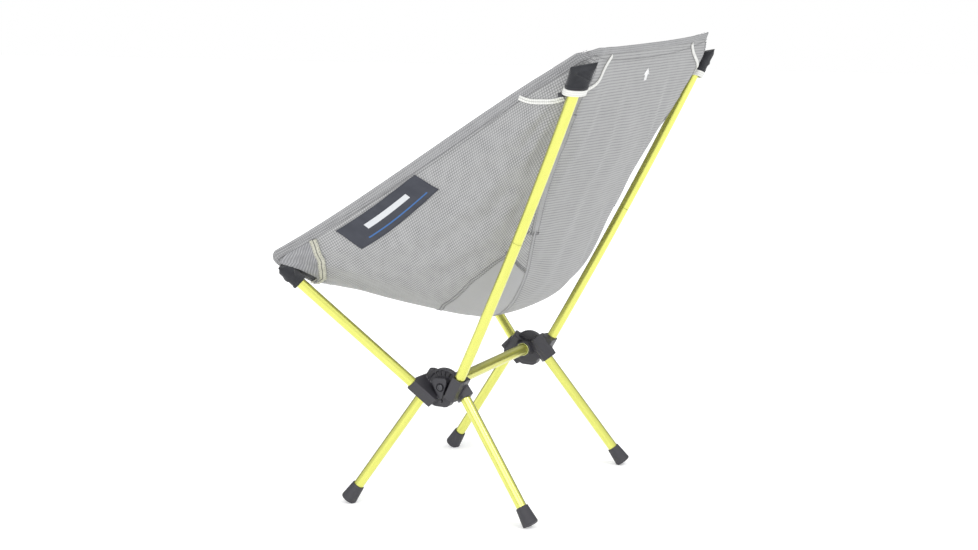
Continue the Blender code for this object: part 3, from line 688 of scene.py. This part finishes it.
def ribbon(name, points, width, thickness, material, lift=0.0, shift=0.0, face=1):
    """A flat tape with eased edges sewn along a line on the sling; face -1 puts it inside the bucket."""
    _, length = along_path(points, 40)
    count = max(12, int(length / 0.004))
    uv, length = along_path(points, count)
    spots, _, across, out = path_frame(uv, 0.0)
    half = width / 2
    rising = [(-half, 0.0), (-half, 0.6), (-half * 0.9, 1.0)]
    section = rising + [(0.0, 1.1)] + [(-offset, height) for offset, height in reversed(rising)]
    verts = []
    uvs = []
    for i in range(count):
        for offset, height in section:
            spot = spots[i] + across[i] * (offset + shift) + out[i] * face * (lift + thickness * height)
            verts.append(spot)
            uvs.append((offset, length * i / (count - 1)))
    columns = len(section)
    faces = grid_faces(count, columns, True)
    faces.append(tuple(range(columns)))
    faces.append(tuple(range(columns * (count - 1), columns * count)))
    made = make_object(name, verts, faces, material, uvs)
    tidy_normals(made)
    return made


def tidy_normals(piece):
    work = bmesh.new()
    work.from_mesh(piece.data)
    bmesh.ops.recalc_face_normals(work, faces=work.faces)
    work.to_mesh(piece.data)
    work.free()


def stitches(name, lines, material, pitch=0.0034, size=0.0024, radius=0.00030, lift=0.0006, face=1):
    """Rows of short thread stitches. Each line is (points, shift across)."""
    verts = []
    faces = []
    for points, shift in lines:
        _, length = along_path(points, 40)
        count = max(4, int(length / pitch))
        uv, _ = along_path(points, count)
        spots, ahead, across, out = path_frame(uv, 0.0)
        for i in range(count):
            centre = spots[i] + across[i] * shift + out[i] * face * lift
            first = len(verts)
            for along, scale in ((-0.5, 0.35), (-0.32, 1.0), (0.32, 1.0), (0.5, 0.35)):
                for k in range(5):
                    turn = 2 * math.pi * k / 5
                    swell = across[i] * math.cos(turn) + out[i] * math.sin(turn)
                    verts.append(centre + ahead[i] * size * along + swell * radius * scale)
            faces += grid_faces(4, 5, True, first)
            faces.append(tuple(first + k for k in range(5)))
            faces.append(tuple(first + 15 + k for k in range(5)))
    made = make_object(name, verts, faces, material, np.zeros((len(verts), 2)), sharp=80)
    tidy_normals(made)
    return made


def hem(name, uv_edge, inward, width, material, thick=0.0010):
    """A folded hem that wraps the sling's edge. inward moves a (u, v) point into the cloth."""
    count = len(uv_edge)
    edge = surface(uv_edge[:, 0], uv_edge[:, 1])
    inner = surface(inward[:, 0], inward[:, 1])
    reach = np.linalg.norm(inner - edge, axis=1)
    loop = [
        (1.00, 0.55), (0.97, 0.95), (0.75, 1.0), (0.4, 1.05), (0.12, 1.15), (0.0, 0.95), (-0.06, 0.0),
        (0.0, -0.95), (0.12, -1.15), (0.4, -1.05), (0.75, -1.0), (0.97, -0.95), (1.00, -0.55),
    ]
    verts = []
    uvs = []
    lengths = np.concatenate([[0], np.cumsum(np.linalg.norm(np.diff(edge, axis=0), axis=1))])
    for share, height in loop:
        part = np.clip(share, 0, 1) * width / reach
        uv = uv_edge + (inward - uv_edge) * part[:, None]
        spots = surface(uv[:, 0], uv[:, 1])
        out = normals(surface, uv[:, 0], uv[:, 1])
        spots = spots + out * thick * height
        if share < 0:
            push = edge - inner
            push /= np.maximum(np.linalg.norm(push, axis=1, keepdims=True), 1e-9)
            spots += push * (-share) * width
        verts.append(spots)
        uvs.append(np.stack([lengths, np.full(count, share * width)], -1))
    columns = len(loop)
    verts = np.stack(verts, 1).reshape(-1, 3)
    uvs = np.stack(uvs, 1).reshape(-1, 2)
    faces = grid_faces(count, columns, True)
    faces.append(tuple(range(columns)))
    faces.append(tuple(range(columns * (count - 1), columns * count)))
    made = make_object(name, verts, faces, material, uvs, sharp=60)
    tidy_normals(made)
    return made


def seam_across(points, forward):
    """How far across a seam lies at each forward share."""
    points = np.array(points)
    return np.interp(forward, points[:, 1], points[:, 0])


def build_sheet():
    """The sling's cloth, one sheet with its panels marked by material."""
    columns = 221
    rows = 181
    us = np.linspace(-1, 1, columns)
    vs = np.linspace(0, 1, rows)
    u, v = np.meshgrid(us, vs)
    points = surface(u, v)
    steps = np.linalg.norm(np.diff(points, axis=0), axis=2)
    lengths_v = np.concatenate([np.zeros((1, columns)), np.cumsum(steps, 0)])
    steps = np.linalg.norm(np.diff(points, axis=1), axis=2)
    lengths_u = np.concatenate([np.zeros((rows, 1)), np.cumsum(steps, 1)], 1)
    lengths_u -= lengths_u[:, columns // 2][:, None]
    hem_side = np.where(u >= 0, lengths_u - lengths_u[:, -1:], lengths_u - lengths_u[:, :1])
    centre_u = (u[:-1, :-1] + u[1:, 1:]) / 2
    centre_v = (v[:-1, :-1] + v[1:, 1:]) / 2
    side = np.abs(centre_u)
    back = (side < seam_across(BACK_SEAM, centre_v)) & (centre_v > 0.300)
    seat = (side < seam_across(SEAT_SEAM, centre_v)) & (centre_v > 0.180) & (centre_v < 0.606) & ~back
    panel = np.array(FRONT_PANEL)[:4]
    edge = np.interp(side, panel[:, 0], panel[:, 1])
    corner = (centre_v < edge + 0.008) & (side > 0.585) & (side < 0.90)
    indices = np.where(back, 1, np.where(seat, 2, np.where(corner, 3, 0))).astype(np.int32)
    made = make_object(
        "sling_cloth", points.reshape(-1, 3), grid_faces(rows, columns), None, None, indices.ravel(),
        ["ripstop", "back_weave", "plain", "pocket"], sharp=80,
    )
    mesh = made.data
    run = np.broadcast_to(lengths_v[:, -1:], lengths_v.shape)
    wing_uv = np.stack([run, hem_side], -1).reshape(-1, 2)
    middle = columns // 2
    upper = vs >= 0.5
    level = np.interp(points[..., 2], points[upper, middle, 2], lengths_v[upper, middle])
    along = np.broadcast_to(lengths_v[:, middle, None], u.shape)
    along = along + (level - along) * rise(v, 0.52, 0.72)
    back_uv = np.stack([lengths_u, along], -1).reshape(-1, 2)
    loops = np.zeros(len(mesh.loops), dtype=np.int32)
    mesh.loops.foreach_get("vertex_index", loops)
    kinds = np.repeat(indices.ravel(), 4)
    uv = np.where((kinds == 0)[:, None], wing_uv[loops], back_uv[loops])
    mesh.uv_layers["UVMap"].data.foreach_set("uv", uv.astype(np.float32).ravel())
    thicken = made.modifiers.new("thickness", "SOLIDIFY")
    thicken.thickness = CLOTH
    thicken.offset = 0
    apply_modifiers(made)
    return made


def mirrored(points, side):
    return [(side * u, v) for u, v in points]


def cover_line(side):
    """The stretch of the back seam that its cover strip is sewn over."""
    forwards = np.linspace(*COVER_RANGE, 6)
    return list(zip(side * seam_across(BACK_SEAM, forwards), forwards))


def side_edge(side, count=150):
    v = np.linspace(0, 1, count)
    edge = np.stack([np.full(count, float(side)), v], -1)
    inward = np.stack([np.full(count, side * 0.93), v], -1)
    return edge, inward


def end_edge(top, count=170):
    u = np.linspace(-1, 1, count)
    edge = np.stack([u, np.full(count, 1.0 if top else 0.0)], -1)
    inward = np.stack([u, np.full(count, 0.97 if top else 0.03)], -1)
    return edge, inward


def build_front_corner(word, side):
    """The ribbed reinforcement at a front corner, sewn over the outside of the pole pocket."""
    rows = 41
    columns = 41
    tape = np.array(FRONT_TAPE[::-1])
    panel = np.array(FRONT_PANEL)
    verts = []
    uvs = []
    tip = pole_point("front", side, pole_length("front"))
    axis = np.array((tip - pole_point("front", side, 0)).normalized())
    tip = np.array(tip)
    out = np.array((side * 1.0, 0.12, -0.10))
    out /= np.linalg.norm(out)
    for i in range(rows):
        s = i / (rows - 1)
        inner = [np.interp(s, np.linspace(0, 1, len(tape)), tape[:, k]) for k in (0, 1)]
        outer = [np.interp(s, np.linspace(0, 1, len(panel)), panel[:, k]) for k in (0, 1)]
        for j in range(columns):
            t = j / (columns - 1)
            u = inner[0] + (outer[0] - inner[0]) * t
            v = inner[1] + (outer[1] - inner[1]) * t
            spot = np.array(surface(np.array(side * u), np.array(v), np.array(0.0012)))
            reach = spot - tip
            down = reach @ axis
            radial = reach - axis * down
            depth = radial @ out
            flat = np.linalg.norm(radial - out * depth)
            short = 0.0112 * (1 - rise(down, 0.000, 0.022)) - depth
            push = (short + math.hypot(short, 0.004)) / 2
            spot = spot + out * min(push, 0.014) * bell(flat, 0.0, 0.014) * rise(t, 0.0, 0.35)
            verts.append(spot)
            uvs.append((spot[2], 0.91 * spot[1] - 0.41 * spot[2]))
    made = make_object(f"corner_front_{word}", verts, grid_faces(rows, columns), "ribbed", uvs, sharp=80)
    thicken = made.modifiers.new("thickness", "SOLIDIFY")
    thicken.thickness = 0.0010
    thicken.offset = 0
    smooth = made.modifiers.new("smooth", "SMOOTH")
    smooth.iterations = 8
    apply_modifiers(made)
    return made


def build_pocket(which, word, side):
    """A pole pocket: folded cloth round the pole tip, open below, with a bound mouth and a crease."""
    length = pole_length(which)
    tip = pole_point(which, side, length)
    axis = (tip - pole_point(which, side, length - POCKET_LENGTH[which])).normalized()
    x, y, z = POCKET_BROAD[which]
    broad = Vector((side * x, y, z))
    broad = (broad - axis * broad.dot(axis)).normalized()
    thin = axis.cross(broad).normalized()
    deep = POCKET_LENGTH[which]
    half = POCKET_HALF[which]
    flare = 1.06 if which == "back" else 1.04
    low, high = POCKET_SLOPES[which]
    outer = []
    for step in range(25):
        share = step / 24
        distance = -deep + (deep + 0.006) * share
        wide = half * (0.93 + (flare - 0.93) * share**1.3)
        if distance < 0:
            thick = POCKET_THICK * (1 - 0.10 * share)
        else:
            thick = POCKET_THICK * 0.92 * (1 - rise(distance, -0.002, 0.006)) + 0.0013
        outer.append((distance, wide, thick))
    rings = [(-deep + 0.012, -0.0016), (-deep + 0.001, -0.0012), (-deep - 0.0002, -0.0008), (-deep - 0.0006, 0.0002)]
    sides = 64
    verts = []
    uvs = []
    stations = []
    for distance, inset in rings:
        stations.append((distance, outer[0][1] + inset, outer[0][2] + inset))
    stations.append((-deep - 0.0002, outer[0][1] + 0.0007, outer[0][2] + 0.0007))
    stations.append((-deep + 0.0030, outer[0][1] + 0.0008, outer[0][2] + 0.0008))
    stations.append((-deep + 0.0034, outer[0][1] + 0.0002, outer[0][2] + 0.0002))
    stations += outer[3:]
    for distance, wide, thick in stations:
        share = (distance + deep) / deep
        for i in range(sides):
            turn = 2 * math.pi * i / sides
            c = math.cos(turn)
            s = math.sin(turn)
            power = 0.80
            across = math.copysign(abs(c) ** power, c) * wide
            out = math.copysign(abs(s) ** power, s) * thick
            crease = 0.0020 * math.exp(-(((across / half + 2.6 * (share - 0.80)) / 0.20) ** 2))
            out += math.copysign(crease * (0 < share < 1), s)
            slope = low + (high - low) * min(max(share, 0.0), 1.0)
            verts.append(tip + axis * (distance + slope * across) + broad * across + thin * out)
            uvs.append((turn * half, distance))
    faces = grid_faces(len(stations), sides, True)
    faces.append(tuple(range(sides)))
    faces.append(tuple(range(sides * (len(stations) - 1), sides * len(stations))))
    made = make_object(f"sleeve_{which}_{word}", verts, faces, "pocket", uvs, sharp=50)
    tidy_normals(made)
    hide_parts(f"pocket_{which}_{word}")
    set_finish(made, "pocket_fabric")
    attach(made, BODY[word])
    return tip, axis, broad, thin


def build_band(word, side):
    """The white webbing round a back pocket's mouth, and the short black pull tab behind it."""
    length = pole_length("back")
    tip = pole_point("back", side, length)
    axis = (tip - pole_point("back", side, length - POCKET_LENGTH["back"])).normalized()
    x, y, z = POCKET_BROAD["back"]
    broad = Vector((side * x, y, z))
    broad = (broad - axis * broad.dot(axis)).normalized()
    thin = axis.cross(broad).normalized()
    top = POCKET_LENGTH["back"] + 0.0006
    slope = POCKET_SLOPES["back"][0]
    sides = 72
    stations = []
    for share, swell in (
        (0.0, -0.0012), (0.0, 0.0004), (0.06, 0.0010), (0.28, 0.0011), (0.50, 0.0008), (0.72, 0.0011),
        (0.94, 0.0009), (1.0, 0.0003), (1.0, -0.0012), (0.50, -0.0016), (0.0, -0.0012),
    ):
        stations.append((top + share * BAND_HEIGHT, 0.0138 + swell, 0.0093 + swell))
    verts = []
    uvs = []
    for distance, wide, thick in stations:
        for i in range(sides):
            turn = 2 * math.pi * i / sides
            c = math.cos(turn)
            s = math.sin(turn)
            across = math.copysign(abs(c) ** 0.80, c) * wide
            out = math.copysign(abs(s) ** 0.80, s) * thick
            verts.append(tip - axis * (distance - slope * across) + broad * across + thin * out)
            uvs.append((turn * 0.012, distance))
    made = make_object(f"webbing_{word}", verts, grid_faces(len(stations), sides, True), "webbing", uvs, sharp=50)
    tidy_normals(made)
    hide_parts(f"pocket_band_{word}")
    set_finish(made, "webbing")
    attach(made, BODY[word])
    verts = []
    uvs = []
    count = 19
    low = top + BAND_HEIGHT + 0.0006
    for i in range(count):
        share = i / (count - 1)
        turn = math.pi * share
        back = -0.0060 - 0.0125 * math.sin(turn)
        drop = low + 0.0024 * share + 0.0060 * math.sin(turn)
        for out, across in ((-0.0050, 0.0), (0.0050, 0.0), (0.0050, -0.0009), (-0.0050, -0.0009)):
            verts.append(tip - axis * (drop + across) + broad * back + thin * out)
            uvs.append((out, 0.001 * i))
    faces = grid_faces(count, 4, True)
    faces.append((0, 1, 2, 3))
    faces.append(tuple(4 * (count - 1) + k for k in range(4)))
    tab = make_object(f"pull_tab_{word}", verts, faces, "pocket", uvs, sharp=40)
    tidy_normals(tab)
    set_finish(tab, "pocket_fabric")
    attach(tab, BODY[word])


def build_patch():
    """The sewn patch on the left wing, with plain printed bars."""
    corners = np.array(PATCH)
    rows = 13
    columns = 41
    verts = []
    uvs = []
    for i in range(rows):
        t = i / (rows - 1)
        for j in range(columns):
            s = j / (columns - 1)
            low = corners[0] + (corners[1] - corners[0]) * s
            high = corners[3] + (corners[2] - corners[3]) * s
            u, v = low + (high - low) * t
            verts.append(surface(np.array(u), np.array(v), np.array(0.0010)))
            uvs.append((s * 0.150, 0.030 * (1 - t)))
    made = make_object("patch_left", verts, grid_faces(rows, columns), "patch", uvs, sharp=80)
    thicken = made.modifiers.new("thickness", "SOLIDIFY")
    thicken.thickness = 0.0008
    thicken.offset = 0
    apply_modifiers(made)
    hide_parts("side_patch")
    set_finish(made, "patch_fabric")
    return made


def build_arrow():
    """The small plain arrow printed near the top of the back."""
    right = [(ARROW_HEAD, ARROW_SHOULDER), (ARROW_STEM, ARROW_SHOULDER), (ARROW_STEM, 0.0)]
    outline = [(0.0, ARROW_TOP)] + right + [(-x, rising) for x, rising in reversed(right)]
    verts = []
    for x, rising in outline:
        u = math.copysign(2 / math.pi * math.asin((abs(x) / 0.236) ** (WIDTH_POWER[1] / 2)), x)
        verts.append(surface(np.array(u), np.array(ARROW_FORWARD + rising / 1.30), np.array(0.0006)))
    made = make_object("arrow_print", verts, [(0, 1, 2, 5, 6), (2, 3, 4, 5)], "print", outline)
    thicken = made.modifiers.new("thickness", "SOLIDIFY")
    thicken.thickness = 0.0002
    apply_modifiers(made)
    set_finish(made, "webbing")
    return made


def build_sling():
    """The cloth and everything sewn to it."""
    cloth = build_sheet()
    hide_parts("sling_middle", "sling_wing_left", "sling_wing_right")
    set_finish(cloth, "ripstop")
    sewn = []
    edge, inward = end_edge(True)
    sewn.append(hem("hem_top", edge, inward, 0.0085, "hem"))
    edge, inward = end_edge(False)
    sewn.append(hem("hem_front", edge, inward, 0.0060, "hem", 0.0008))
    top_line = [(u, 0.985) for u in np.linspace(-0.92, 0.92, 40)]
    front_line = [(u, 0.0085) for u in np.linspace(-0.60, 0.60, 40)]
    sewn.append(stitches("stitch_ends", [(top_line, 0.0), (front_line, 0.0)], "thread", lift=0.0011))
    for word, side in SIDES.items():
        edge, inward = side_edge(side)
        sewn.append(hem(f"hem_side_{word}", edge, inward, HEM_WIDTH, "hem"))
        inner = [(side * 0.968, v) for v in np.linspace(0.01, 0.99, 40)]
        sewn.append(stitches(f"stitch_hem_{word}", [(inner, 0.0), (inner, side * 0.0035)], "thread", lift=0.0012))
        seam = mirrored(BACK_SEAM, side)
        sewn.append(ribbon(f"seam_back_{word}", seam, 0.0062, 0.0008, "seam"))
        lines = [(seam, 0.0024), (seam, -0.0024)]
        sewn.append(stitches(f"stitch_back_{word}", lines, "thread", lift=0.0011))
        seat = mirrored(SEAT_SEAM, side)
        lines = [(seat, 0.0022), (seat, 0.0018), (seat, -0.0018), (seat, -0.0022)]
        for points in (CROSS_SEAM, TACK_SEAM):
            for k in range(-2, 3):
                lines.append((mirrored(points, side), 0.0011 * k))
        sewn.append(ribbon(f"seam_seat_{word}", seat, 0.0064, 0.0005, "ripstop"))
        sewn.append(stitches(f"stitch_seat_{word}", lines, "thread", radius=0.0004, lift=0.0007))
        tape = mirrored(FRONT_TAPE, side)
        piping = mirrored(SIDE_TAPE, side)
        arc = mirrored(ARC_TAPE, side)
        sewn.append(build_front_corner(word, side))
        for part, shift in (("upper", 0.0028 * side), ("lower", -0.0028 * side)):
            sewn.append(ribbon(f"tape_front_{part}_{word}", tape, 0.0048, 0.0016, "tape", 0.0014, shift))
            sewn.append(ribbon(f"tape_side_{part}_{word}", piping, 0.0030, 0.0013, "webbing", 0.0005, shift * 0.6))
        sewn.append(ribbon(f"seam_cover_{word}", cover_line(side), 0.0110, 0.0010, "seam", 0.0006))
        sewn.append(ribbon(f"tape_arc_{word}", arc, 0.0056, 0.0012, "webbing", 0.0009))
        lines = [(tape, 0.0), (tape, 0.0040), (tape, -0.0040)]
        sewn.append(stitches(f"stitch_tape_{word}", lines, "thread", lift=0.0030))
        cover = cover_line(side)
        sewn.append(stitches(f"stitch_cover_{word}", [(cover, 0.0040), (cover, -0.0040)], "thread", lift=0.0018))
    sewn.append(build_patch())
    sewn.append(build_arrow())
    for piece in sewn:
        if "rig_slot" not in piece:
            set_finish(piece, "webbing" if "tape" in piece.name else "ripstop")
    for piece in [cloth] + sewn:
        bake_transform(piece)


def dress():
    """Every piece of the chair."""
    dress_crossbar()
    for word, side in SIDES.items():
        dress_hub(word, side)
        for which in LEG_ENDS:
            dress_leg(which, word, side)
        dress_poles(word, side)
        for which in POLE_ENDS:
            build_pocket(which, word, side)
        build_band(word, side)
    build_sling()
    for name, node in NODES.items():
        finish_name = "cord" if name.startswith("cord") else None
        if name.startswith(("tip_cap", "crossbar_plug")):
            finish_name = "resin"
        if name.startswith("back_pole_ferrule"):
            finish_name = "steel"
        if finish_name:
            for slot in node.material_slots:
                slot.link = "OBJECT"
                slot.material = MATERIALS[finish_name]


# ---------------------------------------------------------------- camera, studio


def build_camera():
    """The camera of the reference view."""
    camera = bpy.data.objects.new("camera", bpy.data.cameras.new("camera"))
    bpy.context.scene.collection.objects.link(camera)
    azimuth = math.radians(114.27)
    elevation = math.radians(9.19)
    ahead = Vector((
        -math.sin(azimuth) * math.cos(elevation),
        math.cos(azimuth) * math.cos(elevation),
        -math.sin(elevation),
    ))
    spot = Vector((2.3362, 1.0533 + PIVOT_Y, 0.7213))
    camera.matrix_world = Matrix.Translation(spot) @ ahead.to_track_quat("-Z", "Y").to_matrix().to_4x4()
    camera.data.lens = 66.86
    camera.data.sensor_width = 36
    bpy.context.scene.camera = camera


def sun_light(name, toward, strength, spread):
    """A broad soft light from one direction."""
    lamp = bpy.data.lights.new(name, "SUN")
    lamp.energy = strength
    lamp.angle = math.radians(spread)
    made = bpy.data.objects.new(name, lamp)
    bpy.context.scene.collection.objects.link(made)
    made.matrix_world = (-Vector(toward)).to_track_quat("-Z", "Y").to_matrix().to_4x4()


def build_studio():
    """A pale floor under soft light."""
    scene = bpy.context.scene
    scene.view_settings.view_transform = "Standard"
    world = bpy.data.worlds.new("studio")
    scene.world = world
    world.use_nodes = True
    tree = world.node_tree
    background = tree.nodes["Background"]
    seen = tree.nodes.new("ShaderNodeBackground")
    seen.inputs[0].default_value = (1, 1, 1, 1)
    seen.inputs[1].default_value = 1.0
    facing = tree.nodes.new("ShaderNodeTexCoord")
    toward = tree.nodes.new("ShaderNodeVectorMath")
    toward.operation = "DOT_PRODUCT"
    toward.inputs[1].default_value = (-0.9116, -0.4110, 0.0)
    split = tree.nodes.new("ShaderNodeSeparateXYZ")
    shade = tree.nodes.new("ShaderNodeMath")
    shade.operation = "MULTIPLY_ADD"
    tree.links.new(facing.outputs["Generated"], toward.inputs[0])
    tree.links.new(facing.outputs["Generated"], split.inputs[0])
    for slot, source, low, high, start, end in (
        (0, toward.outputs["Value"], 0.02, 0.80, 0.0, 0.74), (1, split.outputs[2], 0.20, 0.60, -1.0, 0.0),
    ):
        step = tree.nodes.new("ShaderNodeMapRange")
        step.interpolation_type = "SMOOTHSTEP"
        step.inputs["From Min"].default_value = low
        step.inputs["From Max"].default_value = high
        step.inputs["To Min"].default_value = start
        step.inputs["To Max"].default_value = end
        tree.links.new(source, step.inputs["Value"])
        tree.links.new(step.outputs[0], shade.inputs[slot])
    shade.inputs[2].default_value = 0.86
    background.inputs[0].default_value = (0.98, 0.99, 1.0, 1)
    tree.links.new(shade.outputs[0], background.inputs[1])
    path = tree.nodes.new("ShaderNodeLightPath")
    mix = tree.nodes.new("ShaderNodeMixShader")
    tree.links.new(path.outputs["Is Camera Ray"], mix.inputs[0])
    tree.links.new(background.outputs[0], mix.inputs[1])
    tree.links.new(seen.outputs[0], mix.inputs[2])
    tree.links.new(mix.outputs[0], tree.nodes["World Output"].inputs[0])
    sun_light("key", (1.0, 0.10, 0.60), 0.90, 42)
    sun_light("fill", (0.6, 1.0, 0.35), 0.15, 60)
    sun_light("rim", (0.25, 0.70, 0.95), 0.60, 14)
    floor_mesh = bpy.data.meshes.new("floor")
    reach = 12.0
    corners = [(-reach, -reach, 0), (reach, -reach, 0), (reach, reach, 0), (-reach, reach, 0)]
    floor_mesh.from_pydata(corners, [], [(0, 1, 2, 3)])
    floor = bpy.data.objects.new("floor", floor_mesh)
    scene.collection.objects.link(floor)
    floor.location.z = -0.0002
    nodes = Nodes("floor_paint")
    nodes.shader.inputs["Base Color"].default_value = (0.90, 0.90, 0.90, 1)
    nodes.shader.inputs["Emission Color"].default_value = (1, 1, 1, 1)
    nodes.shader.inputs["Emission Strength"].default_value = 0.33
    floor_mesh.materials.append(finish(nodes, 0.9, 0.0, 0.0, 0.0))


build_camera()
build_studio()
dress()
